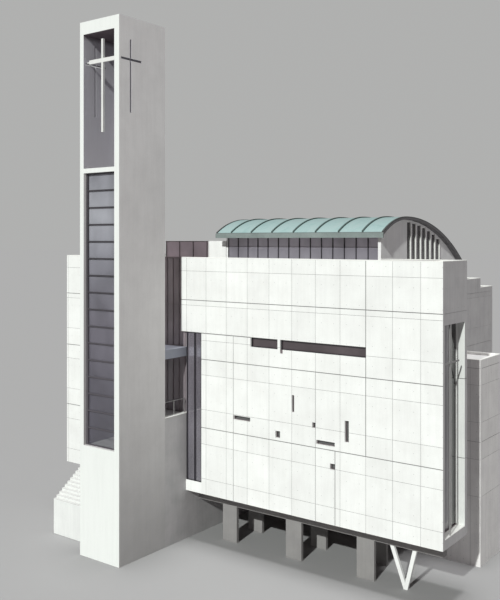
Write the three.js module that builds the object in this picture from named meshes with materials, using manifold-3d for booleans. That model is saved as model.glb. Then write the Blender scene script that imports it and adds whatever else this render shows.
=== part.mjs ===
// A modern church of pale concrete panels: a tall tower with crosses, a raised hall under a vaulted
// roof, a wing on each side, a porch behind the tower and a flight of steps up to it.
// Millimetres, x to the right along the front, y to the back, z up from the lowest ground.
import * as THREE from "three";
import { mergeVertices } from "three/addons/utils/BufferGeometryUtils.js";
import Module from "manifold-3d";

const wasm = await Module();
wasm.setup();

// Building lines, measured from the hall's front right corner
const LEFT_END = -33920;
const REAR_END = 24500;
const PANEL_WALL = 250;
const SLAB = 300;
const SEAT = 0.3;
const OVERCUT = 100;

// Levels
const HALL_UNDERSIDE = 3650;
const HALL_FLOOR = 4050;
const PORCH_FLOOR = 4450;
const TERRACE = 9410;
const BRIDGE = [13720, 14390];
const BAND_BOTTOM = 15570;
const ROOF = [20260, 20560];
const PARAPET_TOP = 21160;
const LOBBY_TOP = 22360;

// Tower
const TOWER = { x: [-24450, -20500], y: [-6930, -2320], top: 37910, lintel: 37000 };
const TOWER_LEFT_WALL = 380;
const TOWER_RIGHT_WALL = 480;
const TOWER_WALL = 400;
const TOWER_SILL = 7880;
const TOWER_LEDGE = [27170, 27490];
const TOWER_GLASS = { setback: 330, thickness: 40 };
const GLAZING_BAR = { depth: 90, edge: 200, rail: 90, rows: 16 };
const TOWER_CROSS = { x: -22500, y: [-6630, -6460], z: [30020, 36570], arm: [34920, 35200], reach: 1330 };
const TOWER_CROSS_BAR = 170;
const TOWER_CROSS_PIN = 80;
const SLOT_CROSS = { y: -5830, width: 130, z: [31290, 36360], arm: [34895, 35045], armY: [-6740, -4770] };

// Front block and its openings
const BAND_LEFT = -21000;
const CORNER = { x: [-20500, -19000], sillTop: 4450, glassY: [100, 140] };
const GALLERY_X = [-20500, -17000];
const FRONT_DEPTH = 3760;
const FRONT_WINDOWS = [
  { x: [-14460, -12130], z: [14870, 15560] },
  { x: [-11920, -5240], z: [14870, 15560] },
  { x: [-11920, -11700], z: [14610, 14880] },
  { x: [-10950, -10750], z: [10690, 11860] },
  { x: [-15990, -14490], z: [9550, 9850] },
  { x: [-12310, -11920], z: [8770, 9240] },
  { x: [-9310, -9030], z: [9850, 10220] },
  { x: [-8990, -7550], z: [8820, 9100] },
  { x: [-6800, -6490], z: [9260, 10660] },
  { x: [-7920, -7550], z: [7290, 7690] },
];
const WINDOW_GLASS = { x: [-16500, -4800], z: [7000, 16000], thickness: 40 };
const RECESS = { depth: 630, y: [250, 3390], z: [4240, 17250] };
const SIDE_CROSS = { y: [1170, 1240], x: [-110, -40], arm: [14830, 14930], armEnd: 2600 };

// Hall and its vaulted roof, a tight arc in front that meets a wide one at the top
const HALL = { x: [-19930, -6000], wall: 230, front: 4090, back: 16500 };
const VAULT = { x: [-20100, -5590], y: [3110, 16800], apexY: 6800, apexZ: 24050 };
const VAULT_FRONT_RADIUS = 6800;
const VAULT_REAR_RADIUS = 16500;
const VAULT_SHELL = 150;
const FASCIA = { y: [3010, 3110], z: [22590, 22940] };
const CLERESTORY = { glassY: [4150, 4190], barPitch: 950, bar: 60, sill: 120 };
const GABLE_SLOTS = { y: 7500, pitch: 840, width: 480, count: 7, bottom: 20900, below: 150 };
const GABLE_GLASS = { y: [7300, 13300], z: [20700, 23600], thickness: 40 };

// Lobby, its glazed front and the white pier beside it
const LOBBY = { x: [-26300, -21750], back: 8000, glass: 100, lap: 250 };
const PIER = { x: [-21750, -19930], depth: 400 };

// Left wing
const LEFT_WING = { x: [LEFT_END, -24450], back: 14500 };
const BACK_WINDOWS = [
  [-32000, -29600],
  [-28800, -26400],
  [-25600, -23200],
];
const BACK_WINDOW_Z = [14870, 15560];
const BACK_GLASS_Z = [14570, 15860];

// Link between tower and hall
const LINK = { x: [-20900, -20500] };
const RAIL = { height: 1130, bar: 40, posts: 3, inset: 200 };

// Steps and landing
const STEPS = { x: [-29370, -24450], front: -5200, foot: 2450, riser: 200, tread: 270, count: 10 };

// Undercroft
const BEAM = { z: [2680, 3650], depth: 500 };
const UNDERCROFT_BACK = 8000;
const FRONT_PIERS_X = [-17500, -11800, -6100];
const REAR_PIERS_X = [-17200, -11500, -6650];
const PIERS = { width: 1300, depth: 250 };
const FRONT_BEAM_Y = 1500;
const REAR_BEAM_Y = 4300;
const LEFT_PIERS_X = [-31800, -26400];
const V_STRUT = { foot: -3250, tops: [-4230, -2600], leg: 270, depth: 200, y: 1600 };

// Right side wing
const SIDE_WING = { x: [-6000, -720], y: [7930, 11900], top: 14210, parapet: 200 };

// Annex and rear block behind the hall
const ANNEX = { x: [-19930, -6000], back: 21700, top: 19200, parapet: 600 };
const REAR_BLOCK = { top: 18400, parapet: 600 };

// Finishes
const finish = (color, roughness, metalness = 0) =>
  new THREE.MeshStandardMaterial({ color, roughness, metalness });
const whiteConcrete = finish(0xf2f4ee, 0.85);
const greyConcrete = finish(0xb9b2ae, 0.88);
const soffitBrown = finish(0x5b4a44, 0.8);
const roofMetal = finish(0x96c4b4, 0.5, 0.3);
const fasciaMetal = finish(0x808c82, 0.5, 0.3);
const darkMetal = finish(0x3a3a40, 0.45, 0.6);
const crossMetal = finish(0xe8e8e4, 0.4, 0.2);
const darkGlass = finish(0x4b4c5c, 0.1, 0.1);
const blueGlass = finish(0x8d9bb0, 0.08, 0.1);
const brownGlass = finish(0x6b5c60, 0.15, 0.1);

const church = new THREE.Group();
church.name = "church";
church.position.set(-LEFT_END / 2, -(TOWER.y[0] + REAR_END) / 2, 0);

function add(name, material, geometry) {
  const mesh = new THREE.Mesh(geometry, material);
  mesh.name = name;
  church.add(mesh);
}

// A block between two x, two y and two z
function block([x0, x1], [y0, y1], [z0, z1]) {
  const geometry = new THREE.BoxGeometry(x1 - x0, y1 - y0, z1 - z0);
  return geometry.translate((x0 + x1) / 2, (y0 + y1) / 2, (z0 + z1) / 2);
}

// An outline of y, z points carried along x
function prismAlongX(points, [x0, x1]) {
  const shape = new THREE.Shape(points.map(([y, z]) => new THREE.Vector2(y, z)));
  const geometry = new THREE.ExtrudeGeometry(shape, { depth: x1 - x0, bevelEnabled: false });
  const turn = new THREE.Matrix4().makeBasis(
    new THREE.Vector3(0, 1, 0),
    new THREE.Vector3(0, 0, 1),
    new THREE.Vector3(1, 0, 0),
  );
  return geometry.applyMatrix4(turn).translate(x0, 0, 0);
}

// An outline of x, z points carried along y
function prismAlongY(points, [y0, y1]) {
  const shape = new THREE.Shape(points.map(([x, z]) => new THREE.Vector2(x, z)));
  const geometry = new THREE.ExtrudeGeometry(shape, { depth: y1 - y0, bevelEnabled: false });
  return geometry.rotateX(Math.PI / 2).translate(0, y1, 0);
}

function solidOf(geometry) {
  const bare = geometry.clone();
  bare.deleteAttribute("normal");
  bare.deleteAttribute("uv");
  const merged = mergeVertices(bare, 1e-3);
  const triVerts = new Uint32Array(merged.index.array);
  const vertProperties = merged.attributes.position.array;
  return new wasm.Manifold(new wasm.Mesh({ numProp: 3, vertProperties, triVerts }));
}

function geometryOf(solid) {
  const { vertProperties, triVerts } = solid.getMesh();
  const geometry = new THREE.BufferGeometry();
  geometry.setAttribute("position", new THREE.BufferAttribute(vertProperties, 3));
  geometry.setIndex(new THREE.BufferAttribute(triVerts, 1));
  return geometry.toNonIndexed();
}

const join = (...parts) => geometryOf(parts.map(solidOf).reduce((a, b) => a.add(b)));
const cut = (body, ...tools) =>
  geometryOf(tools.map(solidOf).reduce((a, b) => a.subtract(b), solidOf(body)));
const common = (body, limit) => geometryOf(solidOf(body).intersect(solidOf(limit)));

// Height of the vault's outer face, or of a face some way below it, at a given y
function vaultHeight(y, below = 0) {
  const radius = y < VAULT.apexY ? VAULT_FRONT_RADIUS : VAULT_REAR_RADIUS;
  const rise = Math.sqrt((radius - below) ** 2 - (y - VAULT.apexY) ** 2);
  return VAULT.apexZ - radius + rise;
}

// Points along the vault from one y to another
function vaultPoints(from, to, below, steps = 28) {
  const points = [];
  for (let i = 0; i <= steps; i += 1) {
    const y = from + ((to - from) * i) / steps;
    points.push([y, vaultHeight(y, below)]);
  }
  return points;
}

// A side wall of the tower, with a cross cut through it
function towerSideWall([x0, x1]) {
  const { y, width, z, arm, armY } = SLOT_CROSS;
  const x = [x0 - OVERCUT, x1 + OVERCUT];
  return cut(
    block([x0, x1], TOWER.y, [0, TOWER.lintel]),
    block(x, [y - width / 2, y + width / 2], z),
    block(x, armY, arm),
  );
}

function towerShell() {
  const [left, right] = TOWER.x;
  const [front, back] = TOWER.y;
  const inner = [left + TOWER_LEFT_WALL, right - TOWER_RIGHT_WALL];
  add("tower_left_wall", whiteConcrete, towerSideWall([left, inner[0]]));
  add("tower_right_wall", whiteConcrete, towerSideWall([inner[1], right]));
  add("tower_back_wall", whiteConcrete, block(inner, [back - TOWER_WALL, back], [0, TOWER.lintel]));
  add("tower_front_base", whiteConcrete, block(inner, [front, front + TOWER_WALL], [0, TOWER_SILL]));
  add("tower_roof_slab", whiteConcrete, block(TOWER.x, TOWER.y, [TOWER.lintel, TOWER.top]));
  add("tower_ledge", whiteConcrete, block(inner, [front, back - TOWER_WALL], TOWER_LEDGE));
  const floorY = [front + TOWER_WALL, back - TOWER_WALL];
  add("tower_floor", greyConcrete, block(inner, floorY, [TOWER_SILL - SLAB, TOWER_SILL]));
}

function towerGlazing() {
  const x = [TOWER.x[0] + TOWER_LEFT_WALL, TOWER.x[1] - TOWER_RIGHT_WALL];
  const z = [TOWER_SILL, TOWER_LEDGE[0]];
  const glassFront = TOWER.y[0] + TOWER_GLASS.setback;
  add("tower_glass", blueGlass, block(x, [glassFront, glassFront + TOWER_GLASS.thickness], z));
  const barY = [glassFront - GLAZING_BAR.depth, glassFront];
  const bars = [
    block([x[0], x[0] + GLAZING_BAR.edge], barY, z),
    block([x[1] - GLAZING_BAR.edge, x[1]], barY, z),
  ];
  const pitch = (z[1] - z[0] - GLAZING_BAR.rail) / GLAZING_BAR.rows;
  for (let i = 0; i <= GLAZING_BAR.rows; i += 1) {
    const low = z[0] + i * pitch;
    bars.push(block(x, barY, [low, low + GLAZING_BAR.rail]));
  }
  add("tower_glazing_frame", darkMetal, join(...bars));
}

// A cross in the open top of the tower, pinned to the walls at both ends of its arm
function towerCross() {
  const { x, y, z, arm, reach } = TOWER_CROSS;
  const inner = [TOWER.x[0] + TOWER_LEFT_WALL, TOWER.x[1] - TOWER_RIGHT_WALL];
  const pinY = (y[0] + y[1]) / 2;
  const pinZ = (arm[0] + arm[1]) / 2;
  const half = TOWER_CROSS_PIN / 2;
  add(
    "tower_cross",
    crossMetal,
    join(
      block([x - TOWER_CROSS_BAR / 2, x + TOWER_CROSS_BAR / 2], y, z),
      block([x - reach, x + reach], y, arm),
      block(inner, [pinY - half, pinY + half], [pinZ - half, pinZ + half]),
    ),
  );
}

// The low wall, terrace, rail and bridge between the tower and the hall, over the porch
function link() {
  const towerBack = TOWER.y[1];
  const porchX = [TOWER.x[0], LINK.x[0]];
  const porchY = [towerBack, PANEL_WALL];
  add(
    "link_wall",
    greyConcrete,
    join(
      block(LINK.x, [towerBack, HALL.front], [0, TERRACE]),
      block(LINK.x, [HALL.front, UNDERCROFT_BACK], [0, HALL_UNDERSIDE]),
    ),
  );
  add("porch_floor", greyConcrete, block(porchX, porchY, [PORCH_FLOOR - SLAB, PORCH_FLOOR]));
  add("terrace_slab", greyConcrete, block(porchX, porchY, [TERRACE - SLAB, TERRACE]));
  add("bridge_slab", greyConcrete, block([TOWER.x[0], LINK.x[1]], porchY, BRIDGE));
  const railX = LINK.x[1] - RAIL.inset;
  const railTop = TERRACE + RAIL.height;
  const bars = [block([railX, railX + RAIL.bar], [towerBack, 0], [railTop - RAIL.bar, railTop])];
  const run = -towerBack - RAIL.bar;
  for (let i = 0; i < RAIL.posts; i += 1) {
    const y = towerBack + (run * i) / (RAIL.posts - 1);
    bars.push(block([railX, railX + RAIL.bar], [y, y + RAIL.bar], [TERRACE, railTop]));
  }
  add("terrace_rail", darkMetal, join(...bars));
}

// A solid plinth, with the flight and its landing on it
function steps() {
  const { x, front, foot, riser, tread, count } = STEPS;
  add("stair_plinth", whiteConcrete, block(x, [front, 0], [0, foot]));
  const outline = [[front, foot]];
  for (let i = 0; i < count; i += 1) {
    const y = front + i * tread;
    outline.push([y, foot + (i + 1) * riser], [y + tread, foot + (i + 1) * riser]);
  }
  outline[outline.length - 1] = [0, foot + count * riser];
  outline.push([0, foot]);
  add("entrance_steps", whiteConcrete, prismAlongX(outline, x));
}

function frontBlock() {
  const wallY = [0, PANEL_WALL];
  const holes = FRONT_WINDOWS.map(({ x, z }) => block(x, [-OVERCUT, PANEL_WALL + OVERCUT], z));
  const outer = join(
    block([CORNER.x[1], 0], wallY, [HALL_UNDERSIDE, PARAPET_TOP]),
    block([BAND_LEFT, CORNER.x[1]], wallY, [BAND_BOTTOM, PARAPET_TOP]),
  );
  add("front_wall", whiteConcrete, cut(outer, ...holes));
  const glassY = [PANEL_WALL, PANEL_WALL + WINDOW_GLASS.thickness];
  add("front_window_glass", darkGlass, block(WINDOW_GLASS.x, glassY, WINDOW_GLASS.z));

  const backX = [HALL.x[1], -RECESS.depth];
  const backY = [FRONT_DEPTH - PANEL_WALL, FRONT_DEPTH];
  add("front_block_back_wall", greyConcrete, block(backX, backY, [HALL_UNDERSIDE, PARAPET_TOP]));
  const left = BAND_LEFT + LOBBY.lap;
  add(
    "front_block_roof",
    greyConcrete,
    join(
      block([left, -RECESS.depth], [PANEL_WALL, backY[0]], ROOF),
      block([left, HALL.x[1] - HALL.wall], [backY[0], CLERESTORY.glassY[1]], ROOF),
    ),
  );
}

// The glazed corner left of the panels, over a white curb, with the gallery floor behind it
function glazedCorner() {
  add("corner_sill", whiteConcrete, block(CORNER.x, [0, PANEL_WALL], [HALL_UNDERSIDE, CORNER.sillTop]));
  add("corner_glass", darkGlass, block(CORNER.x, CORNER.glassY, [CORNER.sillTop, BAND_BOTTOM]));
  add("gallery_floor", greyConcrete, block(GALLERY_X, [PANEL_WALL, HALL.front], BRIDGE));
}

// The right end of the front block, with a tall recess that holds a window and a cross
function sideWall() {
  const x = [-RECESS.depth, 0];
  add(
    "side_wall",
    greyConcrete,
    cut(
      block(x, [PANEL_WALL, FRONT_DEPTH], [HALL_UNDERSIDE, PARAPET_TOP]),
      block([x[0] - OVERCUT, OVERCUT], [PANEL_WALL - OVERCUT, RECESS.y[1]], RECESS.z),
    ),
  );
  const glassX = [x[0], x[0] + WINDOW_GLASS.thickness];
  add("side_glass", darkGlass, block(glassX, RECESS.y, RECESS.z));
  add(
    "side_cross",
    crossMetal,
    join(
      block(SIDE_CROSS.x, SIDE_CROSS.y, RECESS.z),
      block(SIDE_CROSS.x, [RECESS.y[0], SIDE_CROSS.armEnd], SIDE_CROSS.arm),
    ),
  );
}

// One floor over the undercroft, under the hall and the left wing
function mainFloor() {
  const z = [HALL_UNDERSIDE, HALL_FLOOR];
  const right = HALL.x[1] - HALL.wall;
  const left = LEFT_END + PANEL_WALL;
  const backY = FRONT_DEPTH - PANEL_WALL;
  const wingBack = LEFT_WING.back - PANEL_WALL;
  add(
    "main_floor",
    greyConcrete,
    join(
      block([LINK.x[1], -RECESS.depth], [PANEL_WALL, backY], z),
      block([LINK.x[1], right], [backY, HALL.front], z),
      block([left, right], [HALL.front, wingBack], z),
      block([HALL.x[0] + HALL.wall, right], [wingBack, HALL.back - PANEL_WALL], z),
      block([left, LINK.x[0]], [PANEL_WALL, HALL.front], z),
    ),
  );
}

// The space below the vault, for whatever stands up to its underside
function underVault() {
  const low = [
    [VAULT.y[0], 0],
    [VAULT.y[1], 0],
  ];
  const arc = vaultPoints(VAULT.y[1], VAULT.y[0], VAULT_SHELL).map(([y, z]) => [y, z - SEAT]);
  return prismAlongX([...low, ...arc], [LEFT_END, 0]);
}

// The hall's end walls stand behind the undercroft and end under the vault
function hallWalls() {
  const [left, right] = HALL.x;
  const rightX = [right - HALL.wall, right];
  const leftX = [left, left + HALL.wall];
  const backY = [HALL.back - PANEL_WALL, HALL.back];
  const slots = [];
  for (let i = 0; i < GABLE_SLOTS.count; i += 1) {
    const y = GABLE_SLOTS.y + i * GABLE_SLOTS.pitch;
    const slotX = [rightX[0] - OVERCUT, rightX[1] + OVERCUT];
    const top = vaultHeight(y + GABLE_SLOTS.width, VAULT_SHELL + GABLE_SLOTS.below);
    slots.push(block(slotX, [y, y + GABLE_SLOTS.width], [GABLE_SLOTS.bottom, top]));
  }
  const front = FRONT_DEPTH - PANEL_WALL;
  const raised = block(rightX, [front, UNDERCROFT_BACK], [HALL_UNDERSIDE, VAULT.apexZ]);
  const standing = block(rightX, [UNDERCROFT_BACK, HALL.back], [0, VAULT.apexZ]);
  const rightWall = common(join(raised, standing), underVault());
  add("right_gable_wall", greyConcrete, cut(rightWall, ...slots));
  const glassX = [rightX[0] - GABLE_GLASS.thickness, rightX[0]];
  const glass = block(glassX, GABLE_GLASS.y, GABLE_GLASS.z);
  add("gable_slot_glass", darkGlass, common(glass, underVault()));
  const wingBack = LEFT_WING.back - PANEL_WALL;
  const leftWall = join(
    block(leftX, [CLERESTORY.glassY[1], wingBack], [ROOF[1], VAULT.apexZ]),
    block(leftX, [wingBack, HALL.back], [0, VAULT.apexZ]),
  );
  add("left_gable_wall", greyConcrete, common(leftWall, underVault()));
  const backWall = block([leftX[1], rightX[0]], backY, [0, VAULT.apexZ]);
  add("hall_back_wall", whiteConcrete, common(backWall, underVault()));
}

// The glazed strip over the front block's roof, with a bar at every half panel
function clerestory() {
  const x = [HALL.x[0] + HALL.wall, HALL.x[1] - HALL.wall];
  const { glassY, barPitch, bar, sill } = CLERESTORY;
  const barY = [HALL.front, glassY[0]];
  const z = [ROOF[1], VAULT.apexZ];
  const glass = block(x, glassY, z);
  add("clerestory_glass", darkGlass, common(glass, underVault()));
  const bars = [block(x, barY, [ROOF[1], ROOF[1] + sill])];
  for (let left = x[0]; left < x[1]; left += barPitch) {
    bars.push(block([left, Math.min(left + bar, x[1])], barY, z));
  }
  add("clerestory_bars", darkMetal, common(join(...bars), underVault()));
}

function vaultRoof() {
  const outline = [
    ...vaultPoints(VAULT.y[0], VAULT.y[1], 0),
    ...vaultPoints(VAULT.y[1], VAULT.y[0], VAULT_SHELL),
  ];
  add("vault_roof", roofMetal, prismAlongX(outline.reverse(), VAULT.x));
  add("eave_fascia", fasciaMetal, block(VAULT.x, FASCIA.y, FASCIA.z));
}

// The lobby between the wings: a tall glazed front, and a storey on the roof with a white pier
function lobby() {
  const frontY = [PANEL_WALL, PANEL_WALL + LOBBY.glass];
  const left = LEFT_WING.x[1] - LOBBY.lap;
  add(
    "lobby_glazing",
    brownGlass,
    join(
      block([left, LINK.x[0]], frontY, [HALL_FLOOR, TERRACE]),
      block([left, LINK.x[1]], frontY, [TERRACE, BAND_BOTTOM]),
      block([left, BAND_LEFT + LOBBY.lap], frontY, [BAND_BOTTOM, PARAPET_TOP]),
    ),
  );
  const topY = [HALL.front, HALL.front + LOBBY.glass];
  const z = [ROOF[1], LOBBY_TOP];
  add("top_storey_glazing", brownGlass, block(LOBBY.x, topY, z));
  const pierY = [HALL.front, HALL.front + PIER.depth];
  add("white_pier", whiteConcrete, block(PIER.x, pierY, z));
  const behindGlass = [topY[1], LOBBY.back];
  const roofZ = [LOBBY_TOP - SLAB, LOBBY_TOP];
  add(
    "top_storey_walls",
    greyConcrete,
    join(
      block([LOBBY.x[0], LOBBY.x[0] + PANEL_WALL], behindGlass, z),
      block([LOBBY.x[0], PIER.x[1]], [LOBBY.back - PANEL_WALL, LOBBY.back], z),
    ),
  );
  add(
    "top_storey_roof",
    greyConcrete,
    join(
      block([LOBBY.x[0] + PANEL_WALL, LOBBY.x[1]], [topY[1], LOBBY.back - PANEL_WALL], roofZ),
      block([LOBBY.x[1], PIER.x[1]], [pierY[1], LOBBY.back - PANEL_WALL], roofZ),
    ),
  );
}

function leftWing() {
  const [left, right] = LEFT_WING.x;
  const inner = left + PANEL_WALL;
  const wallZ = [HALL_UNDERSIDE, PARAPET_TOP];
  const backY = [LEFT_WING.back - PANEL_WALL, LEFT_WING.back];
  add("left_wing_front_wall", whiteConcrete, block(LEFT_WING.x, [0, PANEL_WALL], wallZ));
  add(
    "left_wing_end_wall",
    whiteConcrete,
    join(
      block([left, inner], [PANEL_WALL, LEFT_WING.back], wallZ),
      block([left, inner], [UNDERCROFT_BACK, LEFT_WING.back], [0, HALL_UNDERSIDE]),
    ),
  );
  const holeY = [backY[0] - OVERCUT, backY[1] + OVERCUT];
  const holes = BACK_WINDOWS.map((x) => block(x, holeY, BACK_WINDOW_Z));
  const backWall = block([inner, HALL.x[0]], backY, [0, PARAPET_TOP]);
  add("left_wing_back_wall", whiteConcrete, cut(backWall, ...holes));
  const glassX = [BACK_WINDOWS[0][0] - SLAB, BACK_WINDOWS[BACK_WINDOWS.length - 1][1] + SLAB];
  const glassY = [backY[0] - WINDOW_GLASS.thickness, backY[0]];
  add("back_window_glass", darkGlass, block(glassX, glassY, BACK_GLASS_Z));
  const lobbyX = [right - LOBBY.lap, BAND_LEFT + LOBBY.lap];
  const gableX = [lobbyX[1], HALL.x[0] + HALL.wall];
  add(
    "left_wing_roof",
    greyConcrete,
    join(
      block([inner, lobbyX[0]], [PANEL_WALL, backY[0]], ROOF),
      block(lobbyX, [PANEL_WALL + LOBBY.glass, backY[0]], ROOF),
      block(gableX, [CLERESTORY.glassY[1], backY[0]], ROOF),
    ),
  );
}

// A beam under the floor with its row of piers
function pierRow(x, y, centres) {
  const parts = [block(x, [y, y + BEAM.depth], BEAM.z)];
  centres.forEach((centre) => {
    const pierX = [centre - PIERS.width / 2, centre + PIERS.width / 2];
    parts.push(block(pierX, [y, y + PIERS.depth], [0, BEAM.z[1]]));
  });
  return join(...parts);
}

// Two legs that rise from one foot to the beam
function vStrut() {
  const { foot, tops, leg, depth, y } = V_STRUT;
  const half = leg / 2;
  const legs = tops.map((top) => {
    const outline = [
      [foot - half, 0],
      [foot + half, 0],
      [top + half, BEAM.z[0]],
      [top - half, BEAM.z[0]],
    ];
    return prismAlongY(outline, [y, y + depth]);
  });
  return join(...legs);
}

function undercroft() {
  const [leftEnd, left] = LINK.x;
  const hallRight = HALL.x[1] - HALL.wall;
  const wingX = [LEFT_END + PANEL_WALL, leftEnd];
  add("front_beam_and_piers", soffitBrown, pierRow([left, -RECESS.depth], FRONT_BEAM_Y, FRONT_PIERS_X));
  add("rear_beam_and_piers", soffitBrown, pierRow([left, hallRight], REAR_BEAM_Y, REAR_PIERS_X));
  add("left_beam_and_piers", soffitBrown, pierRow(wingX, FRONT_BEAM_Y, LEFT_PIERS_X));
  const wallY = [UNDERCROFT_BACK, UNDERCROFT_BACK + PANEL_WALL];
  const wallX = [LEFT_END + PANEL_WALL, hallRight];
  add("undercroft_back_wall", soffitBrown, block(wallX, wallY, [0, HALL_UNDERSIDE]));
  add("front_v_strut", whiteConcrete, vStrut());
}

// A wing that reaches out to the right behind the front block, open to the hall's end wall
function sideWing() {
  const [left, right] = SIDE_WING.x;
  const [front, back] = SIDE_WING.y;
  const z = [0, SIDE_WING.top];
  add(
    "side_wing_walls",
    greyConcrete,
    join(
      block([left, right], [front, front + PANEL_WALL], z),
      block([right - PANEL_WALL, right], [front, back], z),
      block([left, right], [back - PANEL_WALL, back], z),
    ),
  );
  const insideX = [left, right - PANEL_WALL];
  const insideY = [front + PANEL_WALL, back - PANEL_WALL];
  const roofTop = SIDE_WING.top - SIDE_WING.parapet;
  add("side_wing_roof", greyConcrete, block(insideX, insideY, [roofTop - SLAB, roofTop]));
  add("side_wing_floor", greyConcrete, block(insideX, insideY, [HALL_UNDERSIDE, HALL_FLOOR]));
}

// Walls on three sides that close against the building in front of them
function rearWalls([left, right], [front, back], top) {
  return join(
    block([left, left + PANEL_WALL], [front, back], [0, top]),
    block([right - PANEL_WALL, right], [front, back], [0, top]),
    block([left, right], [back - PANEL_WALL, back], [0, top]),
  );
}

function annex() {
  const { x, back, top, parapet } = ANNEX;
  const insideX = [x[0] + PANEL_WALL, x[1] - PANEL_WALL];
  const insideY = [HALL.back, back - PANEL_WALL];
  const roofTop = top - parapet;
  add("annex_walls", greyConcrete, rearWalls(x, [HALL.back, back], top));
  add("annex_roof", greyConcrete, block(insideX, insideY, [roofTop - SLAB, roofTop]));
  const rearRoofTop = REAR_BLOCK.top - REAR_BLOCK.parapet;
  const rearY = [back, REAR_END - PANEL_WALL];
  add("rear_block_walls", greyConcrete, rearWalls(x, [back, REAR_END], REAR_BLOCK.top));
  add("rear_block_roof", greyConcrete, block(insideX, rearY, [rearRoofTop - SLAB, rearRoofTop]));
}

towerShell();
towerGlazing();
towerCross();
link();
steps();
frontBlock();
glazedCorner();
sideWall();
mainFloor();
hallWalls();
clerestory();
vaultRoof();
lobby();
leftWing();
undercroft();
sideWing();
annex();

export default church;
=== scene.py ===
"""Looks for the modern church: camera, light, materials and the detail on its fixed frame."""

import math

import bmesh
import bpy
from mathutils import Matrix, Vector


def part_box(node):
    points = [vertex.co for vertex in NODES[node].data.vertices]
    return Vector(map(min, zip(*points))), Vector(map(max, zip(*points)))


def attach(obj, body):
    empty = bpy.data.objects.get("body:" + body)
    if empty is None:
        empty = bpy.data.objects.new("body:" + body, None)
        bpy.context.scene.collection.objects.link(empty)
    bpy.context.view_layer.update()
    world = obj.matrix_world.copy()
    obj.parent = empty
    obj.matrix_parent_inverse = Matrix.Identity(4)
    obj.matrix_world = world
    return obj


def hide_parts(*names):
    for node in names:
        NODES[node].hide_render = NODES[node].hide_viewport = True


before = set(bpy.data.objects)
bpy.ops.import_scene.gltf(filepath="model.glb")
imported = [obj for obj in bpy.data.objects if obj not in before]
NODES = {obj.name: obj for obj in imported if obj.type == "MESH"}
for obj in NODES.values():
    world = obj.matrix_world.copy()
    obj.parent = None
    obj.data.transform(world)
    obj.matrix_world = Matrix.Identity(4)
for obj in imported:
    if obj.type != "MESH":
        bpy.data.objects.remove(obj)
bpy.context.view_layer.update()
SCENE = bpy.context.scene

# Building lines have x 0 at the front wall's right end and y 0 at its face; SHIFT leads to the row frame
FRONT_LOW, FRONT_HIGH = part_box("front_wall")
SHIFT = Vector((round(FRONT_HIGH.x, 3), round(FRONT_LOW.y, 3), 0.0))
TO_LINES = tuple(-SHIFT)


def reach(node):
    """How far a node extends along x, y and z in building lines, to the millimetre."""
    low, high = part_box(node)
    return [(round(a, 3), round(b, 3)) for a, b in zip(low - SHIFT, high - SHIFT)]


def rgb(red, green, blue):
    """A colour without transparency."""
    return (red, green, blue, 1)


# The camera: its view in pixels of a frame 600 high, its sensor in millimetres, its place in metres
PICTURE_HEIGHT = 600
HORIZON = 240.5
FOCAL_LENGTH = 817.3
SENSOR = 36.0
CAMERA_PLACE = (37.08, -55.165, 22.40)
CAMERA_DIRECTION = (-0.5982, 0.8014)

# The studio floor is large enough to meet the backdrop at the horizon
FLOOR_REACH = 1500.0
FLOOR_TONE = rgb(0.311, 0.309, 0.311)

# Levels and lines of the walls, in metres
FRONT_X, FRONT_Y, (FLOOR_LINE, PARAPET) = reach("front_wall")
WALL = FRONT_Y[1] - FRONT_Y[0]
COPING = 0.06
CORNER_X, _, CORNER_Z = reach("corner_glass")
BAND_BOTTOM = CORNER_Z[1]
_, RECESS_Y, RECESS_Z = reach("side_glass")
HALL_X, HALL_Y, _ = reach("right_gable_wall")

# The panel grid: upright joints lie a pitch apart from PANEL_START, and level ones at LEVELS. Then the
# widths and depths of joints, and the radius of a form-tie hole
PANEL_PITCH = 1.9
PANEL_START = -1.45
LEVELS = [4.80, 7.35, 9.90, 12.46, 15.01, 17.56, 20.12]
ROW_RISE = (LEVELS[-1] - LEVELS[0]) / (len(LEVELS) - 1)
STRONG_LEVELS = [8.56, 13.61, 17.95]
FINE_JOINT = 0.018
BLOCK_JOINT = 0.03
STRONG_JOINT = 0.05
FINE_DEPTH = 0.015
STRONG_DEPTH = 0.03
TIE_HOLE = 0.026

# The reach of a joint that runs over a whole wall, whose own edges end it
EVERYWHERE = (-100.0, 100.0)

# The front wall's wider upright joints: place, lowest and highest level, width and depth
WIDE_JOINTS = [
    (-5.25, STRONG_LEVELS[0], EVERYWHERE[1], 0.045, STRONG_DEPTH),
    (-7.53, EVERYWHERE[0], STRONG_LEVELS[0], 0.045, STRONG_DEPTH),
    (-9.05, EVERYWHERE[0], STRONG_LEVELS[1], 0.03, FINE_DEPTH),
    (-16.0, EVERYWHERE[0], BAND_BOTTOM, 0.035, FINE_DEPTH),
]

# Windows as left, right, bottom and top
LONG_WINDOW = (14.87, 15.56)
NOTCH = (-11.92, -11.70, 14.61, 14.88)
FRONT_WINDOWS = [
    (-14.46, -12.13, *LONG_WINDOW),
    (-11.92, -5.24, *LONG_WINDOW),
    (-10.95, -10.75, 10.69, 11.86),
    (-15.99, -14.49, 9.55, 9.85),
    (-12.31, -11.92, 8.77, 9.24),
    (-9.31, -9.03, 9.85, 10.22),
    (-8.99, -7.55, 8.82, 9.10),
    (-6.80, -6.49, 9.26, 10.66),
    (-7.92, -7.55, 7.29, 7.69),
]
BACK_WINDOWS = [(left, left + 2.4, *LONG_WINDOW) for left in (-32.0, -28.8, -25.6)]

# Blocks whose panelled walls are one piece each: its name, its node, its free sides and its skin
BLOCKS = [
    ("annex_panels", "annex_walls", ("left", "right", "back"), "grey"),
    ("rear_block_panels", "rear_block_walls", ("left", "right", "back"), "grey"),
    ("side_wing_panels", "side_wing_walls", ("right", "back", "front"), "wing"),
]

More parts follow.
